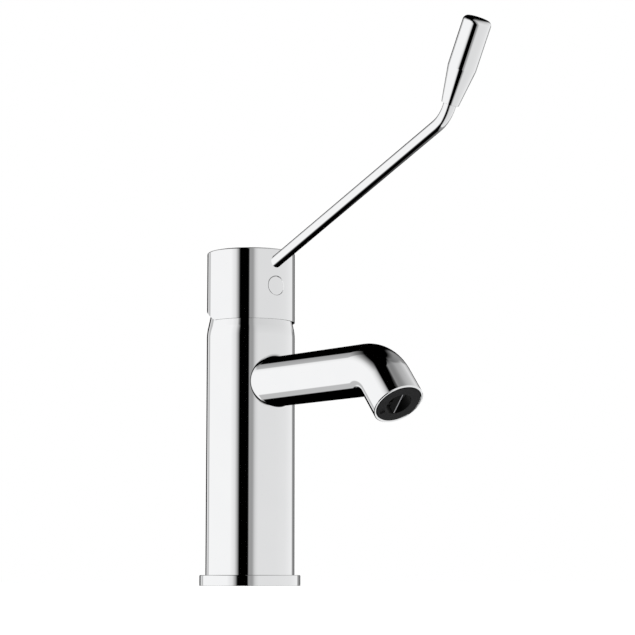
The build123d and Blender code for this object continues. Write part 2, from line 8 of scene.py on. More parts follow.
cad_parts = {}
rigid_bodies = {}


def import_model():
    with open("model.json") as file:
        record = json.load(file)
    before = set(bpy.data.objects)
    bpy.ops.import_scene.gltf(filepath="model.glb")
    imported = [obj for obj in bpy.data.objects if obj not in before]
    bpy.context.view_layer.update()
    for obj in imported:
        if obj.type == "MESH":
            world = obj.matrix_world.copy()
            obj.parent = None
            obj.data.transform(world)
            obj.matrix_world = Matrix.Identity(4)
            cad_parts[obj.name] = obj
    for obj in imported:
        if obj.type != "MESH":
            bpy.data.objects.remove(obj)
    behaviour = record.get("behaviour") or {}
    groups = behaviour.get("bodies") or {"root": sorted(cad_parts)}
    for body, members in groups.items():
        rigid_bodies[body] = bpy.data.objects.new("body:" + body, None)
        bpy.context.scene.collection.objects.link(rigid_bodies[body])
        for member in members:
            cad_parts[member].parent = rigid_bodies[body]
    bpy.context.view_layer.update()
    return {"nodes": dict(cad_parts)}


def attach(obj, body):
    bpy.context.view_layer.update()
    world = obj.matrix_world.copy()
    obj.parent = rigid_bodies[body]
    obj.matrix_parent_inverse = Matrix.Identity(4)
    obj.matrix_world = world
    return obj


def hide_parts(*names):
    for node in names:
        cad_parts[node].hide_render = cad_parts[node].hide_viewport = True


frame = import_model()

# The studio. The tap stands on a pale sheet in front of white paper. Tall cards stand in a
# ring round it: a white one on the left, a grey one on the right, and black gaps before and
# behind, which only polished metal shows, as upright bands.
scene = bpy.context.scene
scene.view_settings.view_transform = "Standard"
lens_heading = radians(36.64)
lens_pitch = radians(7.14)
camera = bpy.data.objects.new("camera", bpy.data.cameras.new("camera"))
scene.collection.objects.link(camera)
scene.camera = camera
camera.data.sensor_width = 36
camera.data.lens = 119.605
camera.data.clip_start = 0.01
camera.location = (-0.61391, -0.88271, 0.002)
sight = Vector((sin(lens_heading) * cos(lens_pitch), cos(lens_heading) * cos(lens_pitch), sin(lens_pitch)))
camera.rotation_mode = "QUATERNION"
camera.rotation_quaternion = sight.to_track_quat("-Z", "Y")

studio = bpy.data.worlds.new("studio")
scene.world = studio
studio.use_nodes = True
nodes = studio.node_tree.nodes
links = studio.node_tree.links
nodes.clear()
direction = nodes.new("ShaderNodeTexCoord")
facing = nodes.new("ShaderNodeVectorRotate")
facing.rotation_type = "Z_AXIS"
facing.inputs["Angle"].default_value = lens_heading
links.new(direction.outputs["Generated"], facing.inputs["Vector"])
parts = nodes.new("ShaderNodeSeparateXYZ")
links.new(facing.outputs["Vector"], parts.inputs["Vector"])
ahead = nodes.new("ShaderNodeMath")
ahead.operation = "MULTIPLY"
ahead.inputs[1].default_value = -1
links.new(parts.outputs["Y"], ahead.inputs[0])
bearing = nodes.new("ShaderNodeMath")
bearing.operation = "ARCTAN2"
links.new(parts.outputs["X"], bearing.inputs[0])
links.new(ahead.outputs["Value"], bearing.inputs[1])
slope = nodes.new("ShaderNodeMath")
slope.operation = "ARCSINE"
links.new(parts.outputs["Z"], slope.inputs[0])


# How far an angle runs to each side, in degrees: a bearing, a slope, and a sum of the two
all_round = 180
up_or_down = 90
both_added = 360


def brightness(angle, reach, levels):
    """A ramp of levels at angles in degrees, over an angle that runs from -reach to reach."""
    share = nodes.new("ShaderNodeMapRange")
    share.inputs["From Min"].default_value = -radians(reach)
    share.inputs["From Max"].default_value = radians(reach)
    links.new(angle.outputs["Value"], share.inputs["Value"])
    fade = nodes.new("ShaderNodeValToRGB")
    links.new(share.outputs["Result"], fade.inputs["Fac"])
    stops = fade.color_ramp.elements
    stops.remove(stops[1])
    stops[0].position = 0
    stops[0].color = (levels[0][1],) * 3 + (1,)
    for degrees, level in levels:
        stops.new((degrees + reach) / (2 * reach)).color = (level, level, level, 1)
    return fade


def reckoned(angle, *steps):
    """Takes an angle through steps of an operation and a number or a node."""
    for operation, value in steps:
        made = nodes.new("ShaderNodeMath")
        made.operation = operation
        links.new(angle.outputs["Value"], made.inputs[0])
        if isinstance(value, (int, float)):
            made.inputs[1].default_value = value
        else:
            links.new(value.outputs["Value"], made.inputs[1])
        angle = made
    return angle


def bowed(angle, side, start, bow, steepness):
    """An angle, grown with the steepness past a start, so that a card's edge curves."""
    growth = [("MULTIPLY", bow), ("MULTIPLY", steepness), ("MULTIPLY", steepness), ("ADD", angle)]
    return reckoned(angle, ("SUBTRACT", radians(start)), (side, 0), *growth)


def corner_cut(tilt, start, end):
    """White below a line that slopes down to the right by a tilt, and black past it."""
    tilted = reckoned(bearing, ("MULTIPLY", tilt), ("ADD", slope))
    return brightness(tilted, both_added, [(start, 1), (end, 0)])


def blended(operation, one, two):
    """Multiplies or adds two grey levels."""
    made = nodes.new("ShaderNodeMixRGB")
    made.blend_type = operation
    made.inputs["Fac"].default_value = 1
    links.new(one.outputs["Color"], made.inputs["Color1"])
    links.new(two.outputs["Color"], made.inputs["Color2"])
    return made


# Each card's edges, its levels from left to right as seen from the tap, and then from the
# floor up. A white card in a paler frame hangs left, and its near upper corner is cut off.
left_height = [(-65, 0), (-60, 0.14), (-56, 0.42), (-52, 0.8), (-48, 1), (26, 1)]
left_height += [(33, 0.88), (38, 0.68), (43, 0.4), (48, 0.22), (53, 0.06), (55, 0)]
downward = reckoned(slope, ("MINIMUM", 0))
left_bearing = bowed(bearing, "MAXIMUM", start=-90, bow=0.45, steepness=downward)
left_frame = blended(
    "MULTIPLY",
    brightness(
        bowed(left_bearing, "MINIMUM", start=-90, bow=0.5, steepness=slope),
        all_round,
        [(-151, 0), (-149.5, 0.55), (-52, 0.55), (-38.5, 0.45), (-30.5, 0.17), (-27.3, 0)],
    ),
    brightness(slope, up_or_down, left_height),
)
left_card = blended(
    "MULTIPLY",
    brightness(
        bowed(left_bearing, "MINIMUM", start=-90, bow=1.2, steepness=slope),
        all_round,
        [(-134.5, 0), (-130.5, 0.45), (-52, 0.45), (-38.5, 0.37), (-30.5, 0.14), (-27.3, 0)],
    ),
    brightness(slope, up_or_down, left_height),
)
left_cards = blended("ADD", left_frame, left_card)
left_side = blended("MULTIPLY", left_cards, corner_cut(tilt=0.6, start=10, end=12.5))
far_strip = blended(
    "MULTIPLY",
    brightness(bearing, all_round, [(-151.5, 0), (-150.5, 0.35), (-145, 0.35), (-142.5, 0)]),
    brightness(slope, up_or_down, [(-25, 0), (-15, 1), (15, 1), (25, 0)]),
)
# A light grey card hangs right with its far upper corner cut off, in front of a wider and
# darker one, and a small card stands past its edge
upward_past = reckoned(slope, ("SUBTRACT", radians(20)), ("MAXIMUM", 0))
right_bearing = bowed(bearing, "MINIMUM", start=60, bow=-0.324, steepness=upward_past)
frame_height = [(40, 1), (52, 0.87), (60, 0.75), (68, 0.6), (75, 0.55), (80, 0.36), (84, 0)]
right_frame = blended(
    "MULTIPLY",
    brightness(right_bearing, all_round, [(-3.2, 0), (-1.6, 0.3), (142, 0.3), (158, 0.27), (165, 0)]),
    brightness(slope, up_or_down, frame_height),
)
card_width = [(-3.2, 0), (-1.6, 0.05), (6.5, 0.05), (9, 0.13), (11.5, 0.28), (14, 0.38), (17, 0.45)]
card_width += [(22, 0.51), (70, 0.515), (103, 0.54), (134, 0.62), (139.5, 0.62), (142, 0.12), (146, 0)]
card_height = [(-60, 0.9), (0, 1), (15, 0.9), (28, 0.82), (42, 0.6), (58, 0.6), (66, 0.4), (74, 0.15)]
card_height += [(80, 0)]
right_card = blended(
    "MULTIPLY",
    brightness(right_bearing, all_round, card_width),
    brightness(slope, up_or_down, card_height),
)
right_card = blended("MULTIPLY", right_card, corner_cut(tilt=0.667, start=131, end=137))
side_card = blended(
    "MULTIPLY",
    brightness(bearing, all_round, [(139.5, 0), (142, 0.55), (148, 0.55), (160, 0.25), (163, 0)]),
    brightness(slope, up_or_down, [(10, 0), (15, 1), (38, 1), (44, 0)]),
)
side_card = blended("MULTIPLY", side_card, corner_cut(tilt=0.93, start=164.5, end=168.5))
near_corner = corner_cut(tilt=-0.33, start=70.6, end=72.6)
far_corner = corner_cut(tilt=0.71, start=155, end=173)
right_cards = blended("ADD", blended("ADD", right_frame, right_card), side_card)
right_side = blended("MULTIPLY", right_cards, blended("MULTIPLY", near_corner, far_corner))
ring = blended("ADD", blended("ADD", left_side, far_strip), right_side)
rays = nodes.new("ShaderNodeLightPath")
soft_light = nodes.new("ShaderNodeBackground")
soft_light.inputs["Color"].default_value = (0.86, 0.86, 0.86, 1)
card_light = nodes.new("ShaderNodeBackground")
links.new(ring.outputs["Color"], card_light.inputs["Color"])
paper_light = nodes.new("ShaderNodeBackground")
paper_light.inputs["Color"].default_value = (1, 1, 1, 1)
for_metal = nodes.new("ShaderNodeMixShader")
links.new(rays.outputs["Is Glossy Ray"], for_metal.inputs["Fac"])
links.new(soft_light.outputs["Background"], for_metal.inputs[1])
links.new(card_light.outputs["Background"], for_metal.inputs[2])
seen_through = nodes.new("ShaderNodeMath")
seen_through.operation = "MAXIMUM"
links.new(rays.outputs["Is Camera Ray"], seen_through.inputs[0])
links.new(rays.outputs["Is Transmission Ray"], seen_through.inputs[1])
for_lens = nodes.new("ShaderNodeMixShader")
links.new(seen_through.outputs["Value"], for_lens.inputs["Fac"])
links.new(for_metal.outputs["Shader"], for_lens.inputs[1])
links.new(paper_light.outputs["Background"], for_lens.inputs[2])
world_out = nodes.new("ShaderNodeOutputWorld")
links.new(for_lens.outputs["Shader"], world_out.inputs["Surface"])

lamp = bpy.data.objects.new("overhead_light", bpy.data.lights.new("overhead_light", "AREA"))
scene.collection.objects.link(lamp)
lamp.data.size = 1.2
lamp.data.energy = 4
lamp.location = (-0.5, -0.6, 1.3)
lamp.rotation_mode = "QUATERNION"
lamp.rotation_quaternion = (Vector((0, -0.04, 0.1)) - lamp.location).to_track_quat("-Z", "Y")
lamp.visible_glossy = False

sheet = bpy.data.materials.new("pale_sheet")
sheet.use_nodes = True
nodes = sheet.node_tree.nodes
links = sheet.node_tree.links
paper = nodes["Principled BSDF"]
paper.inputs["Roughness"].default_value = 1.0
paper.inputs["Specular IOR Level"].default_value = 0.0
fibre = nodes.new("ShaderNodeTexNoise")
fibre.inputs["Scale"].default_value = 900
fibre_tone = nodes.new("ShaderNodeMapRange")
fibre_tone.inputs["To Min"].default_value = 0.8
fibre_tone.inputs["To Max"].default_value = 0.84
place = nodes.new("ShaderNodeTexCoord")
links.new(place.outputs["Object"], fibre.inputs["Vector"])
links.new(fibre.outputs["Fac"], fibre_tone.inputs["Value"])
links.new(fibre_tone.outputs["Result"], paper.inputs["Base Color"])
rays = nodes.new("ShaderNodeLightPath")
lift = nodes.new("ShaderNodeMath")
lift.operation = "MULTIPLY"
lift.inputs[1].default_value = 0.32
links.new(rays.outputs["Is Camera Ray"], lift.inputs[0])
links.new(lift.outputs["Value"], paper.inputs["Emission Strength"])
paper.inputs["Emission Color"].default_value = (1, 1, 1, 1)

floor_half = 3
floor_drop = 0.0001
bm = bmesh.new()
bmesh.ops.create_grid(bm, x_segments=1, y_segments=1, size=floor_half)
bm.transform(Matrix.Translation((0, 0, -floor_drop)))
floor = bpy.data.objects.new("floor", bpy.data.meshes.new("floor"))
bm.to_mesh(floor.data)
bm.free()
floor.data.materials.append(sheet)
floor.visible_glossy = False
scene.collection.objects.link(floor)


# The body: one brass casting, turned outside and bored from the top for the cartridge,
# then polished and chrome plated. Below it is hollow, round four bosses for the two inlet
# hoses and the two fixing studs.
def rounded(corners, steps=12, lead=0.03):
    """Points along the corners of a section; a corner's third number is its rounding.

    A short straight lead each side of a rounding keeps the faces beside it plain.
    """
    points = []
    for index, corner in enumerate(corners):
        here = Vector(corner[:2])
        if len(corner) == 2:
            points.append(here)
            continue
        back = (Vector(corners[index - 1][:2]) - here).normalized()
        on = (Vector(corners[(index + 1) % len(corners)][:2]) - here).normalized()
        half = back.angle(on) / 2
        reach = corner[2] / tan(half)
        centre = here + (back + on).normalized() * (corner[2] / sin(half))
        start = here + back * reach - centre
        turn = start.angle_signed(here + on * reach - centre)
        points.append(here + back * (reach + lead))
        for step in range(steps + 1):
            points.append(centre + Matrix.Rotation(-turn * step / steps, 2) @ start)
        points.append(here + on * (reach + lead))
    return points


def seat(origin, facing_to):
    """A place in metres whose X lies across the tap and whose Z is the given direction."""
    z = Vector(facing_to).normalized()
    x = Vector((1, 0, 0))
    turn = Matrix((x, z.cross(x), z)).transposed().to_4x4()
    return Matrix.Translation(Vector(origin) * 0.001) @ turn


def joined(bm, rings, closed=False):
    """Makes the faces between rings of points; a ring of one point is a pole."""
    sides = max(len(ring) for ring in rings)
    for one, two in zip(rings, rings[1:] + rings[:1] if closed else rings[1:]):
        if len(one) == 1 and len(two) == 1:
            continue
        for k in range(sides):
            j = (k + 1) % sides
            face = [one[k % len(one)], one[j % len(one)], two[j % len(two)], two[k % len(two)]]
            bm.faces.new(list(dict.fromkeys(face)))


def turned(bm, corners, sides=360, place=Matrix(), closed=True):
    """Turns a section of (radius, height) corners in millimetres round the Z of a place."""
    made = []
    rings = []
    for radius, height in rounded(corners):
        spots = sides if radius > 1e-6 else 1
        ring = []
        for k in range(spots):
            around = 2 * pi * k / sides
            ring.append(bm.verts.new((radius * cos(around), radius * sin(around), height)))
        rings.append(ring)
        made += ring
    joined(bm, rings, closed)
    bmesh.ops.transform(bm, matrix=place @ Matrix.Scale(0.001, 4), verts=made)
    return made


# Faces that meet at this many degrees or more meet in a sharp edge
sharp_from = 35


def piece_of(name, bm, sharp=sharp_from):
    """Makes the mesh an object, with outward faces that are smooth up to a sharp angle."""
    bmesh.ops.recalc_face_normals(bm, faces=bm.faces)
    made = bpy.data.objects.new(name, bpy.data.meshes.new(name))
    bm.to_mesh(made.data)
    bm.free()
    made.data.shade_smooth()
    made.data.set_sharp_from_angle(angle=radians(sharp))
    scene.collection.objects.link(made)
    return made


def cut(stock, tools, operation="DIFFERENCE", merge=1e-7):
    """Takes each tool's space out of the stock, or joins it on. The mesh is mended each time."""
    for tool in tools:
        step = stock.modifiers.new("cut", "BOOLEAN")
        step.operation = operation
        step.solver = "EXACT"
        step.object = tool
        bpy.context.view_layer.update()
        bm = bmesh.new()
        bm.from_object(stock, bpy.context.evaluated_depsgraph_get())
        bmesh.ops.remove_doubles(bm, verts=bm.verts, dist=merge)
        bmesh.ops.triangulate(bm, faces=[face for face in bm.faces if len(face.verts) > 4])
        stock.modifiers.clear()
        bm.to_mesh(stock.data)
        bm.free()
        bpy.data.objects.remove(tool)
    stock.data.shade_smooth()
    stock.data.set_sharp_from_angle(angle=radians(sharp_from))


def rods(radius, low, high, place=Matrix(), spots=((0, 0),), sides=64):
    """Plain cylinders that stand at their spots, from low to high, for cutting or joining."""
    made = []
    for x, y in spots:
        bm = bmesh.new()
        turned(bm, [(0, low), (radius, low), (radius, high), (0, high)], sides, closed=False)
        bm.transform(place @ Matrix.Translation((x * 0.001, y * 0.001, 0)))
        made.append(piece_of("tool", bm))
    return made


def true_wall(piece, radius, near=5e-6, upright=0.99):
    """Gives the upright wall its exact outward normals, where the cuts have split its faces."""
    mesh = piece.data
    normals = [corner.vector.copy() for corner in mesh.corner_normals]
    for side in mesh.polygons:
        for corner in side.loop_indices:
            spot = mesh.vertices[mesh.loops[corner].vertex_index].co
            outward = Vector((spot.x, spot.y, 0)).normalized()
            if abs(spot.xy.length - radius) < near and side.normal.dot(outward) > upright:
                normals[corner] = outward
    mesh.normals_split_custom_set(normals)


def polished_chrome(name, grain):
    """Bright chrome plate: faint polishing streaks, a soft haze and the slight ripple under it."""
    made = bpy.data.materials.new(name)
    made.use_nodes = True
    nodes = made.node_tree.nodes
    links = made.node_tree.links
    shader = nodes["Principled BSDF"]
    shader.inputs["Metallic"].default_value = 1.0
    place = nodes.new("ShaderNodeTexCoord")
    stretch = nodes.new("ShaderNodeMapping")
    stretch.inputs["Scale"].default_value = grain
    links.new(place.outputs["Object"], stretch.inputs["Vector"])
    streaks = nodes.new("ShaderNodeTexNoise")
    streaks.inputs["Scale"].default_value = 1.0
    streaks.inputs["Detail"].default_value = 4.0
    links.new(stretch.outputs["Vector"], streaks.inputs["Vector"])
    haze = nodes.new("ShaderNodeTexNoise")
    haze.inputs["Scale"].default_value = 60
    haze.inputs["Detail"].default_value = 3.0
    links.new(place.outputs["Object"], haze.inputs["Vector"])
    gloss = nodes.new("ShaderNodeMapRange")
    gloss.inputs["From Min"].default_value = 0.35
    gloss.inputs["From Max"].default_value = 0.75
    gloss.inputs["To Min"].default_value = 0.008
    gloss.inputs["To Max"].default_value = 0.03
    links.new(streaks.outputs["Fac"], gloss.inputs["Value"])
    links.new(gloss.outputs["Result"], shader.inputs["Roughness"])
    tone = nodes.new("ShaderNodeValToRGB")
    tone.color_ramp.elements[0].color = (0.885, 0.89, 0.9, 1)
    tone.color_ramp.elements[1].color = (0.915, 0.918, 0.922, 1)
    links.new(haze.outputs["Fac"], tone.inputs["Fac"])
    links.new(tone.outputs["Color"], shader.inputs["Base Color"])
    ripple = nodes.new("ShaderNodeBump")
    ripple.inputs["Strength"].default_value = 0.02
    ripple.inputs["Distance"].default_value = 0.00005
    links.new(haze.outputs["Fac"], ripple.inputs["Height"])
    links.new(ripple.outputs["Normal"], shader.inputs["Normal"])
    return made


upright_chrome = polished_chrome("upright_chrome", (900, 900, 12))
# Sizes are in millimetres. Radii are round the axis that a shape is turned on, heights are from
# the deck, and what lies along the spout or the screw is measured from the tap's axis.
body_r = 22.5
body_foot = 2.2
shoulder_z = 128
shoulder_round = 25
neck_r = 20.0556
neck_top = 139.5
neck_round = 0.15
nut_bore_r = 18.55
nut_bore_foot = 135.78
chamber_r = 17.6
chamber_floor = 114
core_r = 19
core_top = 88
boss_foot = 12
boss_sunk = 0.5
inlets = [(6.5, -4.8), (-6.5, -4.8)]
inlet_boss_r = 6.6
inlet_way_r = 3.2
hose_thread_r = 4.5
hose_thread_top = 26
studs = [(0, 13.5), (0, -13.5)]
stud_boss_r = 6
stud_hole_r = 2.5
stud_hole_top = 28
pegs = [(10.5, -11), (-10.5, -11)]
peg_hole_r = 1.55
peg_hole_floor = 111.7
mixed_way = [(0, 6)]
mixed_way_r = 4
oval_r = 2.3
oval_half_height = 4.7
oval_rear = 8.3
oval_front = -12
oval_sides = 64
spout_z = 101.8
# Rings of points on the wall frame the spigot's hole, above and below its middle
spout_band = (-10, -9, 9, 10)
spigot_hole_r = 8.55
spigot_hole_foot = 11.5
spigot_hole_end = 24
past_face = 1
forward = seat((0, 0, spout_z), (0, -1, 0))
bm = bmesh.new()
turned(
    bm,
    [
        (0, core_top),
        (core_r, core_top),
        (core_r, body_foot),
        (body_r, body_foot),
        *[(body_r, spout_z + level) for level in spout_band],
        (body_r, shoulder_z, shoulder_round),
        (neck_r, neck_top, neck_round),
        (nut_bore_r, neck_top),
        (nut_bore_r, nut_bore_foot),
        (chamber_r, nut_bore_foot),
        (chamber_r, chamber_floor),
        (0, chamber_floor),
    ],
)
body = piece_of("cast_body", bm)
boss_top = core_top + boss_sunk
bosses = rods(inlet_boss_r, boss_foot, boss_top, spots=inlets)
bosses += rods(stud_boss_r, boss_foot, boss_top, spots=studs)
cut(body, bosses, "UNION")
# The mixed water runs forward between the inlets through an upright oval way
bm = bmesh.new()
oval_ends = []
for depth in (oval_rear, oval_front):
    oval = []
    for k in range(oval_sides):
        around = 2 * pi * (k + 0.5) / oval_sides
        side = oval_half_height if k < oval_sides / 2 else -oval_half_height
        height = spout_z + oval_r * sin(around) + side
        oval.append(bm.verts.new((oval_r * 0.001 * cos(around), depth * 0.001, height * 0.001)))
    bm.faces.new(oval)
    oval_ends.append(oval)
joined(bm, oval_ends)
low = boss_foot - past_face
high = chamber_floor + past_face
cut(
    body,
    [
        *rods(inlet_way_r, low, high, spots=inlets),
        *rods(hose_thread_r, low, hose_thread_top, spots=inlets),
        *rods(stud_hole_r, low, stud_hole_top, spots=studs),
        *rods(peg_hole_r, peg_hole_floor, high, spots=pegs, sides=32),
        *rods(mixed_way_r, spout_z, high, spots=mixed_way),
        piece_of("oval_way", bm),
        *rods(spigot_hole_r, spigot_hole_foot, spigot_hole_end, forward),
    ],
)
true_wall(body, body_r * 0.001)
body.data.materials.append(upright_chrome)
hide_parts("body")
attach(body, "tap")


# The base ring: a thin chromed ring that the body stands in. Its rubber gasket lies in a
# groove below and seals the ring on the basin.
def plain_finish(name, dark, light, scale, rough, grain, metal=0.0, stretch=(1, 1, 1)):
    """A finish with mottled colour, uneven gloss and a fine grain, all from one noise."""
    made = bpy.data.materials.new(name)
    made.use_nodes = True
    nodes = made.node_tree.nodes
    links = made.node_tree.links
    shader = nodes["Principled BSDF"]
    shader.inputs["Metallic"].default_value = metal
    place = nodes.new("ShaderNodeTexCoord")
    along = nodes.new("ShaderNodeMapping")
    along.inputs["Scale"].default_value = stretch
    links.new(place.outputs["Object"], along.inputs["Vector"])
    mottle = nodes.new("ShaderNodeTexNoise")
    mottle.inputs["Scale"].default_value = scale
    mottle.inputs["Detail"].default_value = 6.0
    links.new(along.outputs["Vector"], mottle.inputs["Vector"])
    tone = nodes.new("ShaderNodeValToRGB")
    tone.color_ramp.elements[0].position = 0.3
    tone.color_ramp.elements[0].color = (*dark, 1)
    tone.color_ramp.elements[1].position = 0.7
    tone.color_ramp.elements[1].color = (*light, 1)
    links.new(mottle.outputs["Fac"], tone.inputs["Fac"])
    links.new(tone.outputs["Color"], shader.inputs["Base Color"])
    gloss = nodes.new("ShaderNodeMapRange")
    gloss.inputs["To Min"].default_value = rough[0]
    gloss.inputs["To Max"].default_value = rough[1]
    links.new(mottle.outputs["Fac"], gloss.inputs["Value"])
    links.new(gloss.outputs["Result"], shader.inputs["Roughness"])
    relief = nodes.new("ShaderNodeBump")
    relief.inputs["Strength"].default_value = 0.4
    relief.inputs["Distance"].default_value = grain
    links.new(mottle.outputs["Fac"], relief.inputs["Height"])
    links.new(relief.outputs["Normal"], shader.inputs["Normal"])
    return made


def finish_nodes(material, *names):
    """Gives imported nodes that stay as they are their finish."""
    for name in names:
        node = frame["nodes"][name]
        node.data.materials.clear()
        node.data.materials.append(material)


ring_r = 25.5
ring_top = 5.3
ring_bore_r = 22.65
ring_ledge_r = 20
groove_inner_r = 21.05
groove_outer_r = 23.95
groove_depth = 1.35
ring_foot_round = 0.15
ring_top_round = 0.4
ring_bore_round = 0.1
bm = bmesh.new()
turned(
    bm,
    [
        (ring_ledge_r, 0),
        (groove_inner_r, 0),
        (groove_inner_r, groove_depth),
        (groove_outer_r, groove_depth),
        (groove_outer_r, 0),
        (ring_r, 0, ring_foot_round),
        (ring_r, ring_top, ring_top_round),
        (ring_bore_r, ring_top, ring_bore_round),
        (ring_bore_r, body_foot),
        (ring_ledge_r, body_foot),
    ],
)
base_ring = piece_of("chromed_base_ring", bm)
base_ring.data.materials.append(upright_chrome)
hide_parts("base_ring")
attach(base_ring, "tap")
black_rubber = plain_finish(
    "black_rubber",
    dark=(0.012, 0.012, 0.012),
    light=(0.03, 0.03, 0.03),
    scale=2500,
    rough=(0.6, 0.85),
    grain=0.00002,
)
finish_nodes(black_rubber, "base_gasket")


# The spout: a bent brass tube, chromed, with a spigot that screws into the body. Its root
# is cut to the body's round, and its far end is bored out for the insert.
def socket_in(tree, name, kind, value=None):
    made = tree.interface.new_socket(name, in_out="INPUT", socket_type=kind)
    if value is not None:
        made.default_value = value
    return made.identifier


bent = bpy.data.node_groups.new("bent_tube", "GeometryNodeTree")
bent_in = {
    "corners": socket_in(bent, "Corners", "NodeSocketGeometry"),
    "tube radius": socket_in(bent, "Tube radius", "NodeSocketFloat", 0.0125),
    "bend radius": socket_in(bent, "Bend radius", "NodeSocketFloat", 0.019),
    "bend steps": socket_in(bent, "Bend steps", "NodeSocketInt", 64),
    "sides": socket_in(bent, "Sides", "NodeSocketInt", 192),
    "saddle radius": socket_in(bent, "Saddle radius", "NodeSocketFloat", 0.0),
    "root blend": socket_in(bent, "Root blend", "NodeSocketFloat", 0.0),
    "ends closed": socket_in(bent, "Ends closed", "NodeSocketBool", False),
    "finish": socket_in(bent, "Finish", "NodeSocketMaterial"),
}
bent.interface.new_socket("Tube", in_out="OUTPUT", socket_type="NodeSocketGeometry")
bent.is_modifier = True
nodes = bent.nodes
links = bent.links
given = nodes.new("NodeGroupInput")
bends = nodes.new("GeometryNodeFilletCurve")
bends.mode = "POLY"
links.new(given.outputs["Corners"], bends.inputs["Curve"])
links.new(given.outputs["Bend steps"], bends.inputs["Count"])
links.new(given.outputs["Bend radius"], bends.inputs["Radius"])
steady = nodes.new("GeometryNodeSetCurveNormal")
steady.mode = "Z_UP"
links.new(bends.outputs["Curve"], steady.inputs["Curve"])
round_section = nodes.new("GeometryNodeCurvePrimitiveCircle")
links.new(given.outputs["Sides"], round_section.inputs["Resolution"])
links.new(given.outputs["Tube radius"], round_section.inputs["Radius"])
wall = nodes.new("GeometryNodeCurveToMesh")
links.new(steady.outputs["Curve"], wall.inputs["Curve"])
links.new(round_section.outputs["Curve"], wall.inputs["Profile Curve"])
links.new(given.outputs["Ends closed"], wall.inputs["Fill Caps"])
# The first ring ends where a ball of the blend's radius touches the tube as it rolls round the
# root: y = -sqrt((saddle + blend)^2 - (x * (1 + blend / tube radius))^2)
where = nodes.new("GeometryNodeInputPosition")
spot = nodes.new("ShaderNodeSeparateXYZ")
links.new(where.outputs["Position"], spot.inputs["Vector"])
steps = {}
for step, operation in (
    ("r", "ADD"),
    ("share", "DIVIDE"),
    ("x", "MULTIPLY_ADD"),
    ("r2", "MULTIPLY"),
    ("x2", "MULTIPLY"),
    ("gap", "SUBTRACT"),
    ("root", "SQRT"),
    ("y", "MULTIPLY"),
):
    steps[step] = nodes.new("ShaderNodeMath")
    steps[step].operation = operation
links.new(given.outputs["Saddle radius"], steps["r"].inputs[0])
links.new(given.outputs["Root blend"], steps["r"].inputs[1])
links.new(given.outputs["Root blend"], steps["share"].inputs[0])
links.new(given.outputs["Tube radius"], steps["share"].inputs[1])
links.new(steps["share"].outputs["Value"], steps["x"].inputs[0])
links.new(spot.outputs["X"], steps["x"].inputs[1])
links.new(spot.outputs["X"], steps["x"].inputs[2])
for side in (0, 1):
    links.new(steps["r"].outputs["Value"], steps["r2"].inputs[side])
    links.new(steps["x"].outputs["Value"], steps["x2"].inputs[side])
links.new(steps["r2"].outputs["Value"], steps["gap"].inputs[0])
links.new(steps["x2"].outputs["Value"], steps["gap"].inputs[1])
links.new(steps["gap"].outputs["Value"], steps["root"].inputs[0])
links.new(steps["root"].outputs["Value"], steps["y"].inputs[0])
steps["y"].inputs[1].default_value = -1
on_saddle = nodes.new("ShaderNodeCombineXYZ")
links.new(spot.outputs["X"], on_saddle.inputs["X"])
links.new(steps["y"].outputs["Value"], on_saddle.inputs["Y"])
links.new(spot.outputs["Z"], on_saddle.inputs["Z"])
near = nodes.new("ShaderNodeMath")
near.operation = "ADD"
links.new(given.outputs["Saddle radius"], near.inputs[0])
links.new(spot.outputs["Y"], near.inputs[1])
first_ring = nodes.new("ShaderNodeMath")
first_ring.operation = "GREATER_THAN"
first_ring.inputs[1].default_value = -0.00001
links.new(near.outputs["Value"], first_ring.inputs[0])
saddle = nodes.new("GeometryNodeSetPosition")
links.new(wall.outputs["Mesh"], saddle.inputs["Geometry"])
links.new(first_ring.outputs["Value"], saddle.inputs["Selection"])
links.new(on_saddle.outputs["Vector"], saddle.inputs["Position"])
real = nodes.new("GeometryNodeRealizeInstances")
links.new(saddle.outputs["Geometry"], real.inputs["Geometry"])
coated = nodes.new("GeometryNodeSetMaterial")
links.new(real.outputs["Geometry"], coated.inputs["Geometry"])
links.new(given.outputs["Finish"], coated.inputs["Material"])
result = nodes.new("NodeGroupOutput")
links.new(coated.outputs["Geometry"], result.inputs["Tube"])


def bent_tube(name, corners, finish, **sizes):
    """Runs the tree on a line through the corners, in millimetres, and keeps a plain mesh."""
    line = bpy.data.curves.new(name, "CURVE")
    line.dimensions = "3D"
    run = line.splines.new("POLY")
    run.points.add(len(corners) - 1)
    for point, corner in zip(run.points, corners):
        point.co = (*(Vector(corner) * 0.001), 1)
    holder = bpy.data.objects.new(name, line)
    scene.collection.objects.link(holder)
    tree = holder.modifiers.new("bent_tube", "NODES")
    tree.node_group = bent
    for key, value in sizes.items():
        tree[bent_in[key.replace("_", " ")]] = value
    tree[bent_in["finish"]] = finish
    bpy.context.view_layer.update()
    mesh = bpy.data.meshes.new_from_object(holder.evaluated_get(bpy.context.evaluated_depsgraph_get()))
    bpy.data.objects.remove(holder)
    return mesh


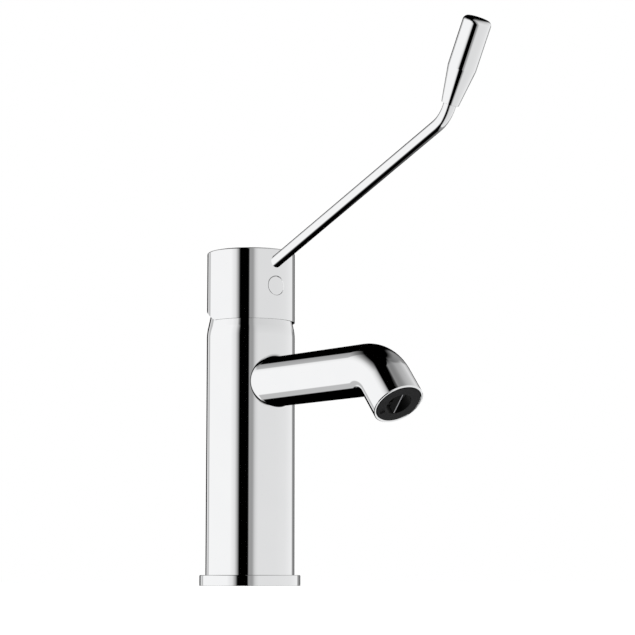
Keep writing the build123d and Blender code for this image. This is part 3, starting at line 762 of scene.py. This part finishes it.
spout_r = 12.5
spout_bore_r = 10.4
spout_sides = 192
saddle_r = body_r + 0.15
bend_start = 96.8
bend_r = 19
spout_fall = radians(50.6)
run_after_bend = 14.3
bore_start = 29.5
socket_r = 11.35
socket_depth = 9.2
socket_bevel = 0.25
rim_bevel = 0.35
spigot_r = 8.5
spigot_way_r = 6
spigot_end = 11.5
spigot_root = 16
root_blend = 2.0
roll_steps = 9
bend_reach = bend_r * tan(spout_fall / 2)
spout_down = Vector((0, -cos(spout_fall), -sin(spout_fall)))
bend_corner = Vector((0, -bend_start - bend_reach, spout_z))
spout_end = bend_corner + spout_down * (bend_reach + run_after_bend)
outlet = seat(spout_end, spout_down)
level_chrome = polished_chrome("level_chrome", (900, 12, 900))
outer_wall = bent_tube(
    "outer_wall",
    [(0, -saddle_r, spout_z), bend_corner, spout_end - spout_down * rim_bevel],
    level_chrome,
    tube_radius=spout_r * 0.001,
    bend_radius=bend_r * 0.001,
    saddle_radius=saddle_r * 0.001,
    root_blend=root_blend * 0.001,
)
inner_wall = bent_tube(
    "inner_wall",
    [(0, -bore_start, spout_z), bend_corner, spout_end - spout_down * socket_depth],
    level_chrome,
    tube_radius=spout_bore_r * 0.001,
    bend_radius=bend_r * 0.001,
)
bm = bmesh.new()
bm.from_mesh(outer_wall)
plated = len(bm.faces)
bm.from_mesh(inner_wall)
# The bore's faces take the second finish: dull unplated brass, darkened further with painted shade
for side in list(bm.faces)[plated:]:
    side.material_index = 1
turned(
    bm,
    [
        (spout_bore_r, -socket_depth),
        (socket_r, -socket_depth),
        (socket_r, -socket_bevel),
        (socket_r + socket_bevel, 0),
        (spout_r - rim_bevel, 0),
        (spout_r, -rim_bevel),
    ],
    spout_sides,
    outlet,
    closed=False,
)
turned(
    bm,
    [
        (spigot_r, spigot_root),
        (spigot_r, spigot_end),
        (spigot_way_r, spigot_end),
        (spigot_way_r, bore_start),
        (spout_bore_r, bore_start),
    ],
    spout_sides,
    forward,
    closed=False,
)
# The root is blended into the body by a rolled round, which stops just off the body, and
# under it the root's face follows the body to the spigot
rings = [[] for _ in range(roll_steps + 3)]
for k in range(spout_sides):
    around = Vector((cos(2 * pi * k / spout_sides), 0, sin(2 * pi * k / spout_sides)))
    ball = around * (spout_r + root_blend)
    ball.y = -sqrt((saddle_r + root_blend) ** 2 - ball.x**2)
    to_body = -Vector((ball.x, ball.y, 0)).normalized()
    rolled = [(-around).slerp(to_body, step / roll_steps) for step in range(roll_steps)]
    spots = [ball + root_blend * outward for outward in rolled]
    edge = spots[-1]
    foot = Vector((edge.x, edge.y, 0)).normalized() * saddle_r
    spots.append(Vector((foot.x, foot.y, edge.z)))
    across = spigot_r * around.x
    spots.append(Vector((across, -sqrt(saddle_r**2 - across**2), spigot_r * around.z)))
    spots.append(Vector((across, -spigot_root, spigot_r * around.z)))
    for ring, spot in zip(rings, spots):
        ring.append(bm.verts.new((spot + Vector((0, 0, spout_z))) * 0.001))
joined(bm, rings)
bmesh.ops.remove_doubles(bm, verts=bm.verts, dist=2e-6)
spout = piece_of("bent_spout", bm)
# Inside the spout: unplated brass, coloured near black as painted shade for the shadow inside the tube
unplated_waterway_and_painted_shade = plain_finish(
    "unplated_waterway_and_painted_shade",
    dark=(0.02, 0.018, 0.014),
    light=(0.05, 0.045, 0.035),
    scale=1500,
    rough=(0.7, 0.9),
    grain=0.00002,
)
unplated_waterway_and_painted_shade.node_tree.nodes["Principled BSDF"].inputs["Specular IOR Level"].default_value = 0.05
spout.data.materials.append(level_chrome)
spout.data.materials.append(unplated_waterway_and_painted_shade)
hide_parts("spout_tube")
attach(spout, "tap")
finish_nodes(black_rubber, "spout_seals", "outlet_seal")

# The outlet insert: moulded in black plastic and pressed into the spout's end. A thin vane
# crosses its bore, and a key turns it out by the two slots in its face.
insert_r = 11.25
insert_back_r = 9.2
insert_depth = 8
insert_bore_r = 6.3
insert_bore_depth = 5
bore_edge_round = 0.3
insert_edge_round = 0.4
vane_size = (0.5, 13.1, 4)
vane_middle = -2.4
vane_turn = radians(10)
slot_size = (2.6, 3.2, 2)
slot_place = 8.3
slot_turn = 39
bm = bmesh.new()
turned(
    bm,
    [
        (insert_bore_r, 0, bore_edge_round),
        (insert_r, 0, insert_edge_round),
        (insert_r, -insert_depth),
        (insert_back_r, -insert_depth),
        (insert_bore_r, -insert_bore_depth),
    ],
    spout_sides,
    outlet,
)
insert = piece_of("outlet_flow_insert", bm)
bm = bmesh.new()
bmesh.ops.create_cube(bm, size=0.001)
bm.transform(
    outlet
    @ Matrix.Rotation(vane_turn, 4, "Z")
    @ Matrix.Translation((0, 0, vane_middle * 0.001))
    @ Matrix.Diagonal((*vane_size, 1))
)
cut(insert, [piece_of("vane", bm)], "UNION")
slots = []
for side in (0, 180):
    bm = bmesh.new()
    bmesh.ops.create_cube(bm, size=0.001)
    bm.transform(
        outlet
        @ Matrix.Rotation(radians(slot_turn + side), 4, "Z")
        @ Matrix.Translation((slot_place * 0.001, 0, 0))
        @ Matrix.Diagonal((*slot_size, 1))
    )
    slots.append(piece_of("slot", bm))
cut(insert, slots)
# Painted light: the bore and the insert's edge get painted shade inside the spout, and the vane's front
# edge gets a painted highlight
painted_highlight = 14.0
painted_shade = 0.15
vane_reach = insert_bore_r - 0.1
face_from = insert_bore_r + 0.05
face_to = insert_r - 0.35
shade = insert.data.attributes.new("shade", "FLOAT", "FACE")
for side in insert.data.polygons:
    spot = outlet.inverted() @ side.center * 1000
    outward = (outlet.to_3x3().transposed() @ side.normal).z
    radius = spot.xy.length
    shade.data[side.index].value = 1.0
    # Painted highlight: the vane's front edge is coloured paler, as if it caught the light
    if radius < vane_reach and outward > 0.9 and spot.z > -1:
        shade.data[side.index].value = painted_highlight
    # Painted shade: the bore, the rounded edge and the back are coloured darker, as if in shadow
    elif radius < face_from or radius > face_to or spot.z < -2:
        shade.data[side.index].value = painted_shade
black_plastic = plain_finish(
    "moulded_black_plastic",
    dark=(0.018, 0.018, 0.019),
    light=(0.03, 0.03, 0.031),
    scale=1800,
    rough=(0.35, 0.5),
    grain=0.000015,
)
nodes = black_plastic.node_tree.nodes
links = black_plastic.node_tree.links
# The base colour is scaled by the shade attribute, which paints the highlight and the shade onto the
# insert
paler = nodes.new("ShaderNodeVectorMath")
paler.operation = "SCALE"
shaded = nodes.new("ShaderNodeAttribute")
shaded.attribute_name = "shade"
links.new(nodes["Color Ramp"].outputs["Color"], paler.inputs[0])
links.new(shaded.outputs["Fac"], paler.inputs["Scale"])
links.new(paler.outputs["Vector"], nodes["Principled BSDF"].inputs["Base Color"])
nodes["Principled BSDF"].inputs["Specular IOR Level"].default_value = 0.03
insert.data.materials.append(black_plastic)
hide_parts("outlet_insert")
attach(insert, "tap")

# The cartridge: a plastic barrel that holds two ceramic discs, clamped on its seat by a
# brass nut. Rubber rings seal the three ports, and a notched ring stops the swing.
barrel_plastic = plain_finish(
    "barrel_plastic",
    dark=(0.52, 0.53, 0.55),
    light=(0.66, 0.67, 0.69),
    scale=900,
    rough=(0.35, 0.5),
    grain=0.00001,
)
finish_nodes(barrel_plastic, "cartridge_foot", "cartridge_housing", "disc_carrier", "spindle_guide")
finish_nodes(black_rubber, "seat_seals", "disc_seals", "guide_seal")
ceramic = plain_finish(
    "lapped_ceramic",
    dark=(0.8, 0.79, 0.76),
    light=(0.9, 0.89, 0.86),
    scale=3000,
    rough=(0.1, 0.22),
    grain=0.000003,
)
finish_nodes(ceramic, "fixed_disc", "moving_disc")
stop_plastic = plain_finish(
    "red_stop_plastic",
    dark=(0.42, 0.07, 0.06),
    light=(0.58, 0.11, 0.09),
    scale=1200,
    rough=(0.35, 0.5),
    grain=0.00001,
)
finish_nodes(stop_plastic, "temperature_stop")
turned_brass = plain_finish(
    "turned_brass",
    dark=(0.6, 0.45, 0.2),
    light=(0.78, 0.62, 0.32),
    scale=1.0,
    rough=(0.2, 0.34),
    grain=0.000008,
    metal=1.0,
    stretch=(120, 120, 4200),
)
finish_nodes(turned_brass, "cartridge_nut", "spindle")
ground_steel = plain_finish(
    "ground_steel",
    dark=(0.5, 0.5, 0.51),
    light=(0.66, 0.66, 0.67),
    scale=1.0,
    rough=(0.18, 0.3),
    grain=0.000005,
    metal=1.0,
    stretch=(3500, 160, 160),
)
finish_nodes(ground_steel, "pivot_pin", "handle_screw")
nylon = plain_finish(
    "natural_nylon",
    dark=(0.72, 0.7, 0.63),
    light=(0.82, 0.8, 0.74),
    scale=700,
    rough=(0.4, 0.55),
    grain=0.00001,
)
finish_nodes(nylon, "spindle_sleeve")

# The handle cap: a turned and chromed brass shell of the body's diameter. A hub inside sits
# on the spindle, an arm carries the lever and the screw, and the rim is cut back behind.
cap_top = 169.65
cap_top_round = 0.8
cap_ceiling = 166.6
cap_bore_r = 21.4
cap_bore_foot = 141
cap_mouth_r = 21.8
cap_foot = 133.7
cap_foot_round = 0.12
# Rings of points on the cap's wall frame the holes and the relief that are cut into it
cap_levels = (138, 142, 145.2, 148, 153, 156.2, 158.4, 161, 167.4)
hub_r = 9.5
hub_bore_r = 7.55
hub_foot = 146
hub_top = 168
arm_width = 12
arm_height = 22
arm_middle = 157
arm_reach = cap_bore_r + 0.1
bm = bmesh.new()
turned(
    bm,
    [
        (0, cap_top),
        (0, cap_ceiling),
        (cap_bore_r, cap_ceiling),
        (cap_bore_r, cap_bore_foot),
        (cap_mouth_r, cap_foot),
        (body_r, cap_foot, cap_foot_round),
        *[(body_r, level) for level in cap_levels],
        (body_r, cap_top, cap_top_round),
    ],
)
cap = piece_of("chromed_handle_cap", bm)
bm = bmesh.new()
bmesh.ops.create_cube(bm, size=0.001)
bm.transform(
    Matrix.Translation((0, -arm_reach * 0.0005, arm_middle * 0.001))
    @ Matrix.Diagonal((arm_width, arm_reach, arm_height, 1))
)
cut(cap, [*rods(hub_r, hub_foot, hub_top, sides=128), piece_of("arm", bm)], "UNION")
# Behind the axis the rim and the hub are cut back, a degree steeper than the lever leans
relief_tilt = radians(26)


def relief_tool(height, reach):
    """A block under the plane that tilts up behind the axis, for the cap's backward lean."""
    length = 1.2 * reach
    bm = bmesh.new()
    bmesh.ops.create_cube(bm, size=0.001)
    bm.transform(
        Matrix.Translation((0, 0, height * 0.001))
        @ Matrix.Rotation(relief_tilt, 4, "X")
        @ Matrix.Translation((0, length * 0.0005, -reach * 0.0005))
        @ Matrix.Diagonal((2 * reach, length, reach, 1))
    )
    return piece_of("relief", bm)


rod_rise = radians(20.5)
rod_axis_z = 154.72
rod_foot_y = 11
rod_hole_r = 3.05
rod_hole_depth = 20
screw_z = 150.7
screw_hole_r = 2.55
screw_hole_foot = 4
plug_hole_r = 4.98
plug_hole_floor = 18.39
hole_end = 26
rod_up = Vector((0, -cos(rod_rise), sin(rod_rise)))
rod_start = Vector((0, -rod_foot_y, rod_axis_z + rod_foot_y * tan(rod_rise)))
screw_line = seat((0, 0, screw_z), (0, -1, 0))
rod_line = seat(rod_start, rod_up)
cut(
    cap,
    [
        *rods(hub_bore_r, hub_foot - past_face, cap_ceiling, sides=128),
        relief_tool(cap_foot, body_r + past_face),
        relief_tool(hub_foot, hub_r + past_face),
        *rods(screw_hole_r, screw_hole_foot, hole_end, screw_line),
        *rods(plug_hole_r, plug_hole_floor, hole_end, screw_line, sides=128),
        *rods(rod_hole_r, 0, rod_hole_depth, rod_line, sides=96),
    ],
)
true_wall(cap, body_r * 0.001)
cap.data.materials.append(upright_chrome)
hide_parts("handle_cap")
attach(cap, "lever")

# The index plug: a small chromed plastic button that hides the screw. Its face follows the
# cap's round, and a notch in its edge takes the tip of a knife.
plug_r = 4.87
plug_back = 18.5
plug_edge_round = 0.5
stem_r = 2.3
stem_end = 15.9
notch_r = 0.5
notch_turn = radians(14)
notch_floor = 20.5
notch_end = 24
curved_from = 20
bm = bmesh.new()
made = turned(
    bm,
    [
        (0, stem_end),
        (stem_r, stem_end),
        (stem_r, plug_back),
        (plug_r, plug_back),
        (plug_r, body_r, plug_edge_round),
        *[(radius, body_r) for radius in (4, 3, 2, 1, 0)],
    ],
    128,
    screw_line,
    closed=False,
)
# The face and its rounded edge are bent to the cap's wall
wall_r = body_r * 0.001
for spot in made:
    if spot.co.y < -curved_from * 0.001:
        spot.co.y += wall_r - sqrt(wall_r**2 - spot.co.x**2)
plug = piece_of("index_plug_face", bm)
notch = [(plug_r * sin(notch_turn), plug_r * cos(notch_turn))]
cut(plug, rods(notch_r, notch_floor, notch_end, screw_line, notch, 32))
plug.data.materials.append(upright_chrome)
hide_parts("index_plug")
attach(plug, "lever")

# The lever: a bent chromed rod, screwed into the cap's arm, with a solid turned grip on its
# end. The grip is a cone that runs out into a cylinder with a rounded tip.
rod_r = 3
rod_bend_y = 155.35
rod_bend_r = 16.9
grip_rise = radians(60.5)
run_to_grip = 1.4
rod_sunk = 14
grip_up = Vector((0, -cos(grip_rise), sin(grip_rise)))
rod_corner = Vector((0, -rod_bend_y, rod_axis_z + rod_bend_y * tan(rod_rise)))
grip_foot = rod_corner + grip_up * (rod_bend_r * tan((grip_rise - rod_rise) / 2) + run_to_grip)
sloped_chrome = polished_chrome("sloped_chrome", (900, 30, 60))
rod = bpy.data.objects.new(
    "bent_lever_rod",
    bent_tube(
        "rod",
        [rod_start, rod_corner, grip_foot + grip_up * rod_sunk],
        sloped_chrome,
        tube_radius=rod_r * 0.001,
        bend_radius=rod_bend_r * 0.001,
        sides=128,
        ends_closed=True,
    ),
)
scene.collection.objects.link(rod)
rod.data.shade_smooth()
rod.data.set_sharp_from_angle(angle=radians(sharp_from))
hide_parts("lever_rod")
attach(rod, "lever")
grip_r = 6.68
grip_foot_r = 4.14
grip_foot_round = 0.15
cone_length = 17.3
grip_length = 41.1
grip_tip_round = 2.2
grip_bore_r = 3.05
grip_bore_depth = 14.3
bm = bmesh.new()
turned(
    bm,
    [
        (0, grip_bore_depth),
        (grip_bore_r, grip_bore_depth),
        (grip_bore_r, 0),
        (grip_foot_r, 0, grip_foot_round),
        (grip_r, cone_length),
        (grip_r, grip_length, grip_tip_round),
        (0, grip_length),
    ],
    256,
    seat(grip_foot, grip_up),
    closed=False,
)
grip = piece_of("turned_grip", bm, sharp=6)
grip.data.materials.append(sloped_chrome)
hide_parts("lever_grip")
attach(grip, "lever")

# Nothing on the tap mirrors the tap: polished metal shows the studio's cards alone
for piece in scene.objects:
    piece.visible_glossy = False
